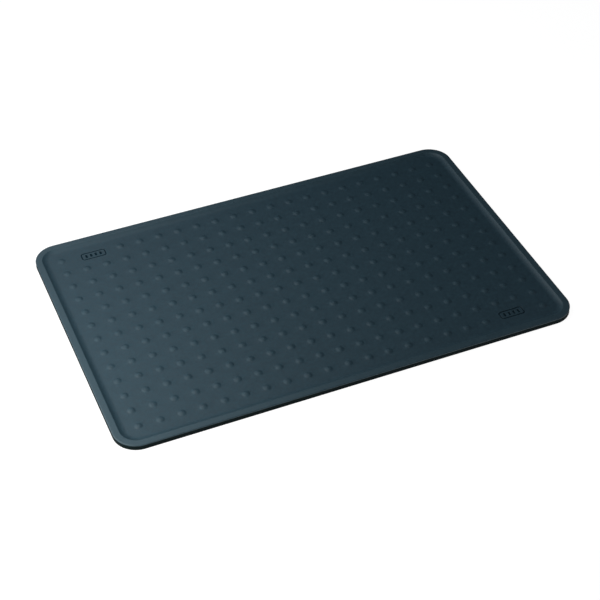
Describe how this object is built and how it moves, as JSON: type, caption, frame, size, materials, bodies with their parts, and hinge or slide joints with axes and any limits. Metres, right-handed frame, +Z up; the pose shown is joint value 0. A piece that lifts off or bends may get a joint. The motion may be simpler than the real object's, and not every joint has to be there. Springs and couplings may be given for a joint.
{
  "type": "anti fatigue mat",
  "caption": "Rectangular office standing mat with rounded corners, a raised rim around a shallow dished tray and a square grid of low massage domes.",
  "frame": {"origin": "middle of the underside, on the floor that the mat lies on", "axes": "+X along the long side, to the right seen from the front; +Y to the back edge; +Z up"},
  "size_m": [0.79, 0.51, 0.01],
  "materials": {
    "slate_skin": "satin moulded polyurethane, very fine grain",
    "black_foam": "matt closed-cell foam",
    "grip_rubber": "matt anti-slip rubber"
  },
  "bodies": {
    "root": {"top_skin": "slate_skin", "foam_core": "black_foam", "base_sheet": "grip_rubber"}
  },
  "joints": []
}
